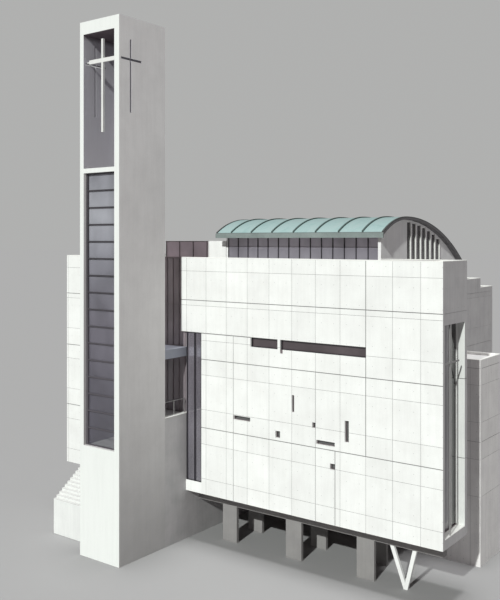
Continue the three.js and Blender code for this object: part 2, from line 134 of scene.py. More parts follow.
# The vault: two arcs that meet at the ridge, and the ribs on it
VAULT_X, VAULT_Y, _ = reach("vault_roof")
VAULT_TOP = 24.05
RIDGE_Y = 6.8
FRONT_RADIUS = 6.8
BACK_RADIUS = 16.5
RIB_START = -7.2
RIB_COUNT = 7

# The slots in the hall's right end wall, whose tops lie SLOT_DROP under the vault
SLOT_COUNT = 7
SLOT_START = 7.5
SLOT_PITCH = 0.84
SLOT_WIDTH = 0.48
SLOT_SILL = 20.9
SLOT_DROP = 0.30

# The soffit's bays between walls and beams, as x and y, and the pitch of its boards
SOFFIT_BAYS = [
    ((-20.45, -0.66), (0.29, 1.46)),
    ((-20.45, -0.66), (2.04, 3.46)),
    ((-33.62, -20.95), (0.29, 1.46)),
    ((-33.62, -20.95), (2.04, 7.94)),
    ((-20.45, -6.27), (4.84, 7.94)),
]
BOARD_PITCH = 0.2

# The middles of the piers under each beam
PIERS = {
    "front_beam_and_piers": (-17.5, -11.8, -6.1),
    "left_beam_and_piers": (-31.8, -26.4),
    "rear_beam_and_piers": (-17.2, -11.5, -6.65),
}

# Regions of the tower that differ in tone, as limits on named coordinates: the void and the cut crosses
# take painted shade, the ledge and the reveals don't
NEAR = 0.01
TOWER_LEFT = reach("tower_left_wall")[0][1]
TOWER_RIGHT = reach("tower_right_wall")[0][0]
TOWER_FRONT = reach("tower_front_base")[1][0]
TOWER_BACK = reach("tower_back_wall")[1][0]
TOWER_FLOOR = reach("tower_floor")[2][1]
TOWER_CEILING = reach("tower_roof_slab")[2][0]
LEDGE_BOTTOM, LEDGE_TOP = reach("tower_ledge")[2]
TOWER_VOID = [
    ("X", TOWER_LEFT - NEAR, TOWER_RIGHT + NEAR),
    ("Y", TOWER_FRONT - NEAR, TOWER_BACK + NEAR),
    ("Z", TOWER_FLOOR + NEAR, TOWER_CEILING + NEAR),
]
TOWER_LEDGE = [("Z", LEDGE_BOTTOM - NEAR, LEDGE_TOP + NEAR)]
TOWER_REVEAL = [
    ("Y", TOWER_FRONT - NEAR, reach("tower_glass")[1][0]),
    ("Z", TOWER_FLOOR + NEAR, LEDGE_BOTTOM - NEAR),
]
CROSS_UPRIGHT = [("Y", -5.905, -5.755), ("Z", 31.28, 36.37)]
CROSS_ARM = [("Y", -6.75, -4.76), ("Z", 34.885, 35.055)]

# Tones of the tower's parts, with painted shade inside it and at its ceiling and a front tone darkened
# against the sun, and the heights between which one tone turns into another
# Painted shade for the tower's inner faces and its cut crosses
PAINTED_INSIDE_SHADE = rgb(0.54, 0.525, 0.565)
# A darker tone on the tower's sunlit front faces, which offsets the sun on them
FRONT_SUN_OFFSET_TONE = rgb(0.79, 0.805, 0.785)
# Painted shade at the tower's ceiling, faded in between these heights
PAINTED_CEILING_SHADE = rgb(0.15, 0.12, 0.135)
CEILING_SHADE_FADE = (36.6, 36.98)
# Heights over which the tower's side faces grow darker towards the ground
SIDE_FADE = (2.0, 30.0)
DUST_FADE = (13.0, 20.0)
PATINA_FADE = (22.9, VAULT_TOP)


def make_camera():
    """A level camera, with its view shifted so that the horizon lies above the middle."""
    data = bpy.data.cameras.new("camera")
    data.sensor_fit = "AUTO"
    data.sensor_width = SENSOR
    data.lens = FOCAL_LENGTH / PICTURE_HEIGHT * SENSOR
    data.shift_y = (HORIZON - PICTURE_HEIGHT / 2) / PICTURE_HEIGHT
    data.clip_start = 0.5
    data.clip_end = 2 * FLOOR_REACH
    camera = bpy.data.objects.new("camera", data)
    camera.location = CAMERA_PLACE
    camera.rotation_euler = (math.pi / 2, 0, math.atan2(-CAMERA_DIRECTION[0], CAMERA_DIRECTION[1]))
    SCENE.collection.objects.link(camera)
    SCENE.camera = camera


def add_sun(name, energy, degrees, direction, color):
    """A sun whose disc is some degrees wide and whose light travels in a direction."""
    data = bpy.data.lights.new(name, "SUN")
    data.energy = energy
    data.angle = math.radians(degrees)
    data.color = color
    sun = bpy.data.objects.new(name, data)
    sun.rotation_mode = "QUATERNION"
    sun.rotation_quaternion = Vector(direction).to_track_quat("-Z", "Y")
    SCENE.collection.objects.link(sun)


def add_background(tree, color, strength, socket):
    """An even background that feeds one side of the world's mix."""
    background = tree.nodes.new("ShaderNodeBackground")
    background.inputs["Color"].default_value = color
    background.inputs["Strength"].default_value = strength
    tree.links.new(background.outputs["Background"], socket)


def make_light():
    """Two suns, and a world that lights the object weakly and is a pale backdrop to the camera."""
    add_sun("sun", energy=3.2, degrees=1.5, direction=(-0.148, 0.80, -0.50), color=(0.965, 1.0, 0.965))
    add_sun("overhead", energy=2.2, degrees=12, direction=(0.0, 0.0, -1.0), color=(1.0, 1.0, 1.0))
    world = bpy.data.worlds.new("studio")
    world.use_nodes = True
    tree = world.node_tree
    tree.nodes.clear()
    out = tree.nodes.new("ShaderNodeOutputWorld")
    mix = tree.nodes.new("ShaderNodeMixShader")
    path = tree.nodes.new("ShaderNodeLightPath")
    tree.links.new(path.outputs["Is Camera Ray"], mix.inputs["Fac"])
    add_background(tree, color=rgb(1.0, 0.94, 0.965), strength=0.178, socket=mix.inputs[1])
    add_background(tree, color=rgb(0.96, 0.965, 0.953), strength=0.452, socket=mix.inputs[2])
    tree.links.new(mix.outputs["Shader"], out.inputs["Surface"])
    SCENE.world = world
    SCENE.view_settings.view_transform = "Standard"


def make_floor():
    """A plain matt floor as pale as the backdrop."""
    mesh = bpy.data.meshes.new("studio_floor")
    corners = [(-1, -1), (1, -1), (1, 1), (-1, 1)]
    mesh.from_pydata([(FLOOR_REACH * x, FLOOR_REACH * y, 0) for x, y in corners], [], [(0, 1, 2, 3)])
    floor = bpy.data.objects.new("studio_floor", mesh)
    SCENE.collection.objects.link(floor)
    material = bpy.data.materials.new("studio_floor")
    material.use_nodes = True
    shader = material.node_tree.nodes["Principled BSDF"]
    shader.inputs["Base Color"].default_value = FLOOR_TONE
    shader.inputs["Roughness"].default_value = 1.0
    shader.inputs["Specular IOR Level"].default_value = 0.0
    mesh.materials.append(material)


class Finish:
    """A node material under construction, in object coordinates that are metres in the row frame."""

    def __init__(self, name, roughness=0.8, metallic=0.0, specular=0.3):
        self.material = bpy.data.materials.new(name)
        self.material.use_nodes = True
        self.tree = self.material.node_tree
        self.shader = self.tree.nodes["Principled BSDF"]
        self.shader.inputs["Roughness"].default_value = roughness
        self.shader.inputs["Metallic"].default_value = metallic
        self.shader.inputs["Specular IOR Level"].default_value = specular
        self.place = self.node("ShaderNodeTexCoord").outputs["Object"]

    def node(self, kind, *values, sockets=None, **settings):
        """A new node with these settings, whose inputs take values in order or by their sockets."""
        made = self.tree.nodes.new(kind)
        for key, value in settings.items():
            setattr(made, key, value)
        for key, value in [*enumerate(values), *(sockets or {}).items()]:
            self.link(value, made.inputs[key])
        return made

    def link(self, value, socket):
        """Feed a socket from another socket, or set it to a number or colour."""
        if isinstance(value, bpy.types.NodeSocket):
            self.tree.links.new(value, socket)
        else:
            socket.default_value = value

    def math(self, operation, *values):
        """The result of an operation on numbers or sockets."""
        return self.node("ShaderNodeMath", *values, operation=operation).outputs[0]

    def scaled(self, scale, offset=(0, 0, 0)):
        """The place on the object, scaled and moved."""
        sockets = {"Vector": self.place, "Scale": scale, "Location": offset}
        return self.node("ShaderNodeMapping", sockets=sockets).outputs[0]

    def axes(self, offset=(0, 0, 0)):
        """The coordinates X, Y and Z of the place: with TO_LINES as offset, in building lines."""
        return self.node("ShaderNodeSeparateXYZ", self.scaled((1, 1, 1), offset)).outputs

    def normal(self):
        """The parts X, Y and Z of the true normal."""
        true_normal = self.node("ShaderNodeNewGeometry").outputs["True Normal"]
        return self.node("ShaderNodeSeparateXYZ", true_normal).outputs

    def noise(self, scale, detail=4.0, roughness=0.55, stretch=(1, 1, 1), distortion=0.0):
        """Cloudy noise from 0 to 1, with scale in waves a metre."""
        sockets = {"Scale": scale, "Detail": detail, "Roughness": roughness, "Distortion": distortion}
        return self.node("ShaderNodeTexNoise", self.scaled(stretch), sockets=sockets).outputs["Fac"]

    def ramp(self, value, *stops):
        """A colour for a value from 0 to 1, between stops of a place and a colour."""
        made = self.node("ShaderNodeValToRGB", value)
        elements = made.color_ramp.elements
        while len(elements) < len(stops):
            elements.new(0.5)
        for element, (position, color) in zip(elements, stops):
            element.position = position
            element.color = color
        return made.outputs["Color"]

    def span(self, value, low, high, to_low, to_high):
        """A value between low and high, brought to between two other numbers."""
        sockets = {"Value": value, "From Min": low, "From Max": high, "To Min": to_low, "To Max": to_high}
        return self.node("ShaderNodeMapRange", sockets=sockets).outputs["Result"]

    def mix(self, kind, factor, first, second):
        """Two colours mixed in a Blender blend mode."""
        sockets = {"Factor": factor, 6: first, 7: second}
        return self.node("ShaderNodeMix", sockets=sockets, data_type="RGBA", blend_type=kind).outputs[2]

    def color(self, value):
        """Set the surface colour."""
        self.link(value, self.shader.inputs["Base Color"])

    def roughness(self, value):
        """Set the roughness."""
        self.link(value, self.shader.inputs["Roughness"])

    def bump(self, height, distance, strength=1.0):
        """Set the bump, with its distance in metres."""
        sockets = {"Strength": strength, "Distance": distance, "Height": height}
        bumped = self.node("ShaderNodeBump", sockets=sockets).outputs["Normal"]
        self.link(bumped, self.shader.inputs["Normal"])


def concrete(name, light, dark, panels=True, streaks=0.35, tower=False):
    """Cast or panelled concrete: cloudy tone, a tone per panel, rain streaks, pores and tie holes."""
    finish = Finish(name, roughness=0.85, specular=0.25)
    cloud = finish.noise(0.55, detail=6.0, roughness=0.6)
    grain = finish.noise(18.0, detail=8.0, roughness=0.7)
    tone = finish.ramp(cloud, (0.30, dark), (0.62, light))
    streak = finish.noise(1.6, detail=5.0, roughness=0.65, stretch=(2.2, 2.2, 0.16))
    shade = finish.span(streak, 0.42, 0.62, 1.0, 1.0 - 0.16 * streaks)
    shade = finish.math("MULTIPLY", shade, finish.span(grain, 0.25, 0.75, 0.955, 1.03))
    heights = finish.math("MULTIPLY", grain, 0.5)
    if panels:
        panel_shade, hole = panel_marks(finish)
        shade = finish.math("MULTIPLY", shade, panel_shade)
        heights = finish.math("ADD", heights, finish.math("MULTIPLY", hole, 0.8))
    # On the tower: painted shade inside and on its up-facing faces, a darker tone on its sunlit front that
    # offsets the sun, and side faces darker towards the ground
    if tower:
        shade = finish.math("MULTIPLY", shade, side_fade_and_top_shade(finish))
        tone = tower_tone_and_painted_shade(finish, tone)
    finish.color(finish.mix("MULTIPLY", 1.0, tone, shade))
    finish.roughness(finish.span(grain, 0.2, 0.8, 0.93, 0.74))
    finish.bump(heights, 0.012, 0.5)
    return finish.material


def panel_marks(finish):
    """A shade for each panel, darker in its tie holes, and those holes."""
    place = finish.axes(TO_LINES)
    column = finish.math("DIVIDE", finish.math("SUBTRACT", place["X"], PANEL_START), PANEL_PITCH)
    depth = finish.math("DIVIDE", place["Y"], PANEL_PITCH)
    row = finish.math("DIVIDE", finish.math("SUBTRACT", place["Z"], LEVELS[0]), ROW_RISE)
    whole = [finish.math("FLOOR", value) for value in (column, depth, row)]
    cell = finish.node("ShaderNodeCombineXYZ", *whole).outputs[0]
    chance = finish.node("ShaderNodeTexWhiteNoise", cell, noise_dimensions="3D")
    shade = finish.span(chance.outputs["Value"], 0, 1, 0.955, 1.02)
    hole = tie_holes(finish, column, depth, row)
    return finish.math("MULTIPLY", shade, finish.span(hole, 0.0, 1.0, 0.7, 1.0)), hole


def tie_holes(finish, column, depth, row):
    """0 in a form-tie hole and 1 elsewhere: two across a panel and two up it."""
    spread = []
    for value, panel in ((column, PANEL_PITCH), (depth, PANEL_PITCH), (row, ROW_RISE)):
        part = finish.math("FRACT", finish.math("MULTIPLY", value, 2.0))
        away = finish.math("MULTIPLY", finish.math("SUBTRACT", part, 0.5), panel / 2)
        spread.append(finish.math("MULTIPLY", away, away))
    normal = finish.normal()
    across_x = finish.math("GREATER_THAN", finish.math("ABSOLUTE", normal["Y"]), 0.5)
    across_y = finish.math("GREATER_THAN", finish.math("ABSOLUTE", normal["X"]), 0.5)
    squared = finish.math("ADD", finish.math("MULTIPLY", spread[0], across_x), spread[2])
    squared = finish.math("ADD", squared, finish.math("MULTIPLY", spread[1], across_y))
    flat = finish.math("SUBTRACT", 1.0, finish.math("MAXIMUM", across_x, across_y))
    squared = finish.math("ADD", squared, flat)
    return finish.math("GREATER_THAN", squared, TIE_HOLE ** 2)


def side_fade_and_top_shade(finish):
    """The tower's side faces grow a little darker towards the ground, and its up-facing faces are darker:
    painted shade that offsets the overhead light on them.
    """
    normal = finish.normal()
    sideways = finish.math("GREATER_THAN", finish.math("ABSOLUTE", normal["X"]), 0.5)
    darker = finish.span(finish.axes()["Z"], *SIDE_FADE, 0.49, 0.0)
    # Painted shade on up-facing faces, which offsets the overhead light on them
    top_shade = finish.math("MULTIPLY", finish.math("GREATER_THAN", normal["Z"], 0.5), 0.35)
    lost = finish.math("ADD", top_shade, finish.math("MULTIPLY", sideways, darker))
    return finish.math("SUBTRACT", 1.0, lost)


def tower_tone_and_painted_shade(finish, tone):
    """The tower's tone; a darker tone on its front faces, which offsets the sun there; and painted shade
    inside, darkest at the ceiling.
    """
    front = finish.math("LESS_THAN", finish.normal()["Y"], -0.5)
    outside = finish.mix("MIX", front, tone, FRONT_SUN_OFFSET_TONE)
    ceiling = finish.span(finish.axes()["Z"], *CEILING_SHADE_FADE, 0.0, 1.0)
    inside = finish.mix("MIX", ceiling, PAINTED_INSIDE_SHADE, PAINTED_CEILING_SHADE)
    return finish.mix("MIX", inside_shade_mask(finish), outside, inside)


def inside_shade_mask(finish):
    """Where the painted shade goes: 1 on the tower's inner faces and in its cut crosses, 0 outside and on
    its ledge and reveals.
    """
    place = finish.axes(TO_LINES)
    void, ledge, reveal, upright, arm = (
        within(finish, place, limits)
        for limits in (TOWER_VOID, TOWER_LEDGE, TOWER_REVEAL, CROSS_UPRIGHT, CROSS_ARM)
    )
    dark = finish.math("SUBTRACT", 1.0, finish.math("MAXIMUM", ledge, reveal))
    return finish.math("MAXIMUM", finish.math("MULTIPLY", void, dark), finish.math("MAXIMUM", upright, arm))


def within(finish, place, limits):
    """1 where every named coordinate lies between its limits, else 0."""
    inside = 1.0
    for axis, low, high in limits:
        above = finish.math("GREATER_THAN", place[axis], low)
        below = finish.math("LESS_THAN", place[axis], high)
        inside = finish.math("MULTIPLY", inside, finish.math("MULTIPLY", above, below))
    return inside


def patina(name):
    """Weathered green sheet: cloudy patina, run-off streaks and a little oil-canning."""
    finish = Finish(name, roughness=0.5, metallic=0.15, specular=0.4)
    cloud = finish.noise(0.9, detail=7.0, roughness=0.62, distortion=0.6)
    grain = finish.noise(26.0, detail=6.0, roughness=0.7)
    streak = finish.noise(1.3, detail=5.0, roughness=0.6, stretch=(3.2, 0.35, 0.35))
    tone = finish.ramp(
        cloud,
        (0.28, rgb(0.225, 0.335, 0.33)),
        (0.5, rgb(0.275, 0.385, 0.38)),
        (0.72, rgb(0.315, 0.41, 0.405)),
    )
    aged = finish.mix("MIX", finish.span(streak, 0.5, 0.72, 0.0, 0.45), tone, rgb(0.31, 0.405, 0.395))
    fade = finish.span(finish.axes()["Z"], *PATINA_FADE, 1.16, 0.86)
    shade = finish.math("MULTIPLY", fade, finish.span(grain, 0.3, 0.7, 0.82, 1.08))
    finish.color(finish.mix("MULTIPLY", 0.5, aged, shade))
    finish.roughness(finish.span(cloud, 0.3, 0.7, 0.62, 0.42))
    finish.bump(finish.noise(0.8, detail=2.0), 0.03, 0.35)
    return finish.material


def painted(name, color, roughness, metallic=0.0, speckle=0.08, dust=None):
    """Coated metal or another even finish, with a fine grain, faint marks and dust lower down."""
    finish = Finish(name, roughness=roughness, metallic=metallic, specular=0.4)
    if dust:
        thickness = finish.span(finish.axes()["Z"], *DUST_FADE, 1.0, 0.0)
        color = finish.mix("MIX", thickness, color, dust)
    grain = finish.noise(30.0, detail=6.0, roughness=0.65)
    cloud = finish.noise(0.8, detail=5.0)
    least, most = 1.0 - speckle, 1.0 + speckle / 2
    marks = [finish.span(value, 0.3, 0.7, least, most) for value in (grain, cloud)]
    finish.color(finish.mix("MULTIPLY", 1.0, color, finish.math("MULTIPLY", *marks)))
    finish.roughness(finish.span(cloud, 0.3, 0.7, roughness + 0.08, max(roughness - 0.08, 0.04)))
    finish.bump(grain, 0.004, 0.3)
    return finish.material


def glass(name, stops, alpha, between, axis="Z"):
    """Glazing whose tone, and alpha if it is a pair, change along an axis, uneven from pane to pane."""
    polish = 0.07
    finish = Finish(name, roughness=polish, specular=0.6)
    along = finish.span(finish.axes(TO_LINES)[axis], *between, 0.0, 1.0)
    tone = finish.ramp(along, *stops)
    cloud = finish.noise(0.35, detail=3.0, stretch=(1, 1, 0.6), distortion=0.4)
    finish.color(finish.mix("MULTIPLY", 1.0, tone, finish.span(cloud, 0.3, 0.7, 0.75, 1.25)))
    finish.roughness(finish.span(finish.noise(3.0), 0.3, 0.7, polish, polish + 0.05))
    finish.bump(finish.noise(0.5, detail=1.0), 0.01, 0.15)
    if isinstance(alpha, tuple):
        alpha = finish.span(along, 0.0, 1.0, *alpha)
    finish.link(alpha, finish.shader.inputs["Alpha"])
    finish.shader.inputs["Coat Weight"].default_value = 0.3
    finish.shader.inputs["Coat Roughness"].default_value = 0.04
    return finish.material


def gravel(name, light, dark):
    """Loose roof gravel, about 40 mm stones with dust between them."""
    finish = Finish(name, roughness=0.95, specular=0.1)
    stones = finish.node("ShaderNodeTexVoronoi", finish.place, sockets={"Scale": 22.0}, feature="F1")
    edge = finish.span(stones.outputs["Distance"], 0.0, 0.6, 1.05, 0.6)
    chance = finish.node("ShaderNodeSeparateColor", stones.outputs["Color"])
    tone = finish.ramp(chance.outputs[0], (0.1, dark), (0.9, light))
    cloud = finish.span(finish.noise(0.4, detail=5.0), 0.3, 0.7, 0.8, 1.1)
    finish.color(finish.mix("MULTIPLY", 1.0, tone, finish.math("MULTIPLY", edge, cloud)))
    finish.bump(finish.math("SUBTRACT", 1.0, stones.outputs["Distance"]), 0.03, 0.8)
    return finish.material


def boards(name, light, dark):
    """Brown soffit boards along x, each with its own tone and a fine grain."""
    finish = Finish(name, roughness=0.75, specular=0.2)
    board = finish.math("FLOOR", finish.math("DIVIDE", finish.axes()["Y"], BOARD_PITCH))
    chance = finish.node("ShaderNodeTexWhiteNoise", sockets={"W": board}, noise_dimensions="1D")
    grain = finish.noise(14.0, detail=7.0, roughness=0.7, stretch=(0.25, 3.0, 1.0))
    shade = finish.math("MULTIPLY", chance.outputs["Value"], 0.4)
    mixed = finish.math("ADD", finish.math("MULTIPLY", grain, 0.6), shade)
    finish.color(finish.ramp(mixed, (0.2, dark), (0.8, light)))
    finish.roughness(finish.span(grain, 0.3, 0.7, 0.85, 0.65))
    finish.bump(grain, 0.006, 0.4)
    return finish.material


WINDOW_STOPS = [
    (0.0, rgb(0.125, 0.125, 0.125)),
    (0.5, rgb(0.11, 0.11, 0.11)),
    (0.6, rgb(0.078, 0.062, 0.068)),
]
SLOT_STOPS = [(0.0, rgb(0.03, 0.028, 0.03)), (1.0, rgb(0.04, 0.038, 0.04))]
# The recess pane: paler at its front and near black at its rear, painted shade next to the jamb
SIDE_PANE_SHADE_STOPS = [(0.0, rgb(0.31, 0.29, 0.32)), (0.70, rgb(0.24, 0.22, 0.24)), (0.71, rgb(0.025, 0.022, 0.025))]
# The clerestory glass: darker low down where the sun falls and much paler high up in the eave's shadow,
# painted light that cancels that shadow's edge
CLERESTORY_SHADOW_FILL_STOPS = [
    (0.0, rgb(0.315, 0.30, 0.34)),
    (0.62, rgb(0.225, 0.21, 0.245)),
    (0.71, rgb(0.76, 0.71, 0.80)),
    (1.0, rgb(0.71, 0.66, 0.75)),
]
CORNER_STOPS = [(0.0, rgb(0.36, 0.34, 0.39)), (1.0, rgb(0.33, 0.30, 0.35))]
# The tower's glazing: tone rising from dark low down to a pale bluish band high up, which is painted
# reflection
TOWER_GLASS_REFLECTION_STOPS = [
    (0.0, rgb(0.145, 0.138, 0.175)),
    (0.45, rgb(0.23, 0.215, 0.26)),
    (0.66, rgb(0.29, 0.285, 0.33)),
    (0.84, rgb(0.46, 0.465, 0.51)),
    (1.0, rgb(0.33, 0.33, 0.37)),
]
BROWN_STOPS = [(0.0, rgb(0.27, 0.25, 0.28)), (1.0, rgb(0.34, 0.285, 0.30))]
TOP_STOPS = [(0.0, rgb(0.90, 0.75, 0.83)), (1.0, rgb(0.95, 0.80, 0.88))]

MATERIAL = {
    "white": concrete("white_concrete", rgb(0.86, 0.865, 0.85), rgb(0.80, 0.80, 0.785), streaks=0.2),
    "cast": concrete("white_cast_concrete", rgb(0.88, 0.885, 0.87), rgb(0.83, 0.83, 0.82), panels=False),
    "tower": concrete(
        "tower_concrete", rgb(0.90, 0.875, 0.875), rgb(0.84, 0.815, 0.815),
        panels=False, streaks=0.2, tower=True,
    ),
    "grey": concrete("grey_concrete", rgb(0.59, 0.575, 0.58), rgb(0.52, 0.505, 0.515), streaks=0.4),
    "wing": concrete("wing_concrete", rgb(0.88, 0.86, 0.85), rgb(0.79, 0.77, 0.765), streaks=0.4),
    "gable": concrete(
        "gable_concrete", rgb(0.88, 0.87, 0.87), rgb(0.80, 0.79, 0.80), panels=False, streaks=0.3
    ),
    "grey_cast": concrete(
        "grey_cast_concrete", rgb(0.50, 0.485, 0.49), rgb(0.42, 0.41, 0.415), panels=False
    ),
    "pier": concrete(
        "pier_concrete", rgb(0.285, 0.275, 0.27), rgb(0.245, 0.235, 0.235), panels=False, streaks=0.3
    ),
    "tread": concrete("stone_treads", rgb(0.56, 0.56, 0.55), rgb(0.53, 0.53, 0.52), panels=False),
    "reveal": concrete("reveal_concrete", rgb(0.73, 0.74, 0.72), rgb(0.69, 0.70, 0.685), panels=False),
    "steps": concrete("step_concrete", rgb(0.79, 0.80, 0.785), rgb(0.75, 0.755, 0.745), panels=False),
    "gravel": gravel("roof_gravel", rgb(0.48, 0.465, 0.45), rgb(0.29, 0.28, 0.275)),
    "soffit": boards("soffit_boards", rgb(0.30, 0.22, 0.185), rgb(0.15, 0.11, 0.092)),
    "roof": patina("patina_roof"),
    "seam": painted("roof_seam", rgb(0.055, 0.085, 0.08), 0.55, 0.2),
    "edge": painted("roof_edge", rgb(0.06, 0.065, 0.065), 0.55, 0.2, speckle=0.15),
    "shell": painted("roof_shell", rgb(0.15, 0.145, 0.15), 0.7),
    "fascia": painted("fascia_sheet", rgb(0.28, 0.33, 0.32), 0.5, 0.2, speckle=0.2),
    "bridge": painted("bridge_paint", rgb(0.27, 0.28, 0.33), 0.6),
    "joint": painted("joint_sealant", rgb(0.24, 0.235, 0.235), 0.8),
    "seal": painted("grey_sealant", rgb(0.43, 0.42, 0.425), 0.8),
    "coping": painted("coping_sheet", rgb(0.90, 0.90, 0.87), 0.45, 0.1),
    "metal": painted("dark_metal", rgb(0.045, 0.042, 0.05), 0.42, 0.5),
    "dusty_metal": painted(
        "glazing_metal", rgb(0.065, 0.06, 0.068), 0.42, 0.3, dust=rgb(0.115, 0.105, 0.12)
    ),
    "bronze": painted("bronze_metal", rgb(0.21, 0.175, 0.185), 0.45, 0.3),
    "cross": painted("cross_metal", rgb(0.86, 0.86, 0.84), 0.35, 0.1),
    "rail": painted("rail_metal", rgb(0.35, 0.345, 0.345), 0.4, 0.4),
    "window": glass("window_glass", WINDOW_STOPS, alpha=1.0, between=(3.6, 21.2)),
    "slot": glass("gable_slot_glass", SLOT_STOPS, alpha=1.0, between=(20, 24)),
    "side_pane": glass("side_window_glass", SIDE_PANE_SHADE_STOPS, alpha=0.95, between=RECESS_Y, axis="Y"),
    # The clerestory's tone by height is painted light that cancels the eave's shadow
    "clerestory": glass("clerestory_glass", CLERESTORY_SHADOW_FILL_STOPS, alpha=0.92, between=(20.6, 22.6)),
    "corner": glass("corner_glass", CORNER_STOPS, alpha=0.28, between=(4.4, 15.6)),
    "tower_glass": glass("tower_glass", TOWER_GLASS_REFLECTION_STOPS, alpha=(0.30, 0.62), between=(7.9, 27.2)),
    "brown": glass("brown_glass", BROWN_STOPS, alpha=0.88, between=(4.0, 21.2)),
    "top_glass": glass("top_storey_glass", TOP_STOPS, alpha=0.97, between=(20.5, 22.4)),
}

NODE_MATERIALS = {
    "tower": [
        "tower_left_wall", "tower_right_wall", "tower_back_wall", "tower_front_base",
        "tower_roof_slab", "tower_ledge",
    ],
    "cast": [
        "corner_sill", "white_pier", "front_v_strut", "hall_back_wall", "side_wing_roof", "tower_floor",
    ],
    "steps": ["stair_plinth", "entrance_steps"],
    "gable": ["left_gable_wall", "right_gable_wall"],
    "bridge": ["bridge_slab", "gallery_floor"],
    "grey_cast": [
        "link_wall", "porch_floor", "terrace_slab", "main_floor", "top_storey_walls",
        "front_block_back_wall", "side_wing_floor",
    ],
    "gravel": ["front_block_roof", "left_wing_roof", "annex_roof", "rear_block_roof", "top_storey_roof"],
    "pier": ["front_beam_and_piers", "rear_beam_and_piers", "left_beam_and_piers"],
    "wing": ["undercroft_back_wall"],
    "fascia": ["eave_fascia"],
    "shell": ["vault_roof"],
    "dusty_metal": ["tower_glazing_frame"],
    "metal": ["clerestory_bars"],
    "cross": ["tower_cross"],
    "rail": ["terrace_rail", "side_cross"],
    "window": ["front_window_glass", "back_window_glass"],
    "slot": ["gable_slot_glass"],
    "side_pane": ["side_glass"],
    "clerestory": ["clerestory_glass"],
    "corner": ["corner_glass"],
    "tower_glass": ["tower_glass"],
    "brown": ["lobby_glazing"],
    "top_glass": ["top_storey_glazing"],
}


def dress_nodes():
    """Give the nodes of the frame their materials."""
    for key, names in NODE_MATERIALS.items():
        for name in names:
            slots = NODES[name].data.materials
            slots.clear()
            slots.append(MATERIAL[key])


class Shape:
    """Faces in building lines that become one object; those of kind n take its material n."""

    def __init__(self):
        self.verts = []
        self.faces = []
        self.kinds = []

    def face(self, points, kind=0):
        """A face through these points."""
        start = len(self.verts)
        self.verts.extend(points)
        self.faces.append(tuple(range(start, start + len(points))))
        self.kinds.append(kind)

    def box(self, x, y, z, kind=0, front=None):
        """A block; front is the kind of its face towards the front, if that differs."""
        start = len(self.verts)
        self.verts.extend((a, b, c) for a in x for b in y for c in z)
        towards_front = (0, 4, 5, 1)
        sides = [(0, 1, 3, 2), (4, 6, 7, 5), towards_front, (2, 3, 7, 6), (0, 2, 6, 4), (1, 5, 7, 3)]
        for side in sides:
            self.faces.append(tuple(start + corner for corner in side))
            self.kinds.append(front if front is not None and side == towards_front else kind)

    def fitted(self, place, along, deep, up, kind=0):
        """A block in the axes of a wall, as facing gives them."""
        corners = place(along[0], deep[0], up[0]), place(along[1], deep[1], up[1])
        self.box(*(sorted(pair) for pair in zip(*corners)), kind)

    def paint_end(self, x, kind):
        """Make the faces that lie in the plane at x another kind."""
        for n, face in enumerate(self.faces):
            if all(self.verts[corner][0] == x for corner in face):
                self.kinds[n] = kind

    def make(self, name, slot, materials, bevel=0.0, merge=False, replaces=()):
        """Turn the faces into a piece of the object, with rounded edges if bevel is given."""
        mesh = bpy.data.meshes.new(name)
        mesh.from_pydata([Vector(v) + SHIFT for v in self.verts], [], self.faces)
        mesh.polygons.foreach_set("material_index", self.kinds)
        work = bmesh.new()
        work.from_mesh(mesh)
        if merge:
            bmesh.ops.remove_doubles(work, verts=work.verts, dist=1e-5)
        bmesh.ops.recalc_face_normals(work, faces=work.faces)
        work.to_mesh(mesh)
        work.free()
        for material in materials:
            mesh.materials.append(MATERIAL[material])
        piece = bpy.data.objects.new(name, mesh)
        SCENE.collection.objects.link(piece)
        if bevel:
            rounding = piece.modifiers.new("edges", "BEVEL")
            rounding.width = bevel
            rounding.segments = 2
            rounding.limit_method = "ANGLE"
        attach(piece, "root")
        if replaces:
            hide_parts(*replaces)


def facing(side, outer):
    """The place of (u, d, z) in a wall's own axes: along it, into it from its outer face, and up."""
    return {
        "front": lambda u, d, z: (u, outer + d, z),
        "back": lambda u, d, z: (u, outer - d, z),
        "left": lambda u, d, z: (outer + d, u, z),
        "right": lambda u, d, z: (outer - d, u, z),
    }[side]


def cell_edges(span, rectangles, first):
    """The ends of a span, and the edges of rectangles inside it, which are their numbers from first on."""
    inner = (r[n] for r in rectangles for n in (first, first + 1) if span[0] < r[n] < span[1])
    return sorted({*span, *inner})


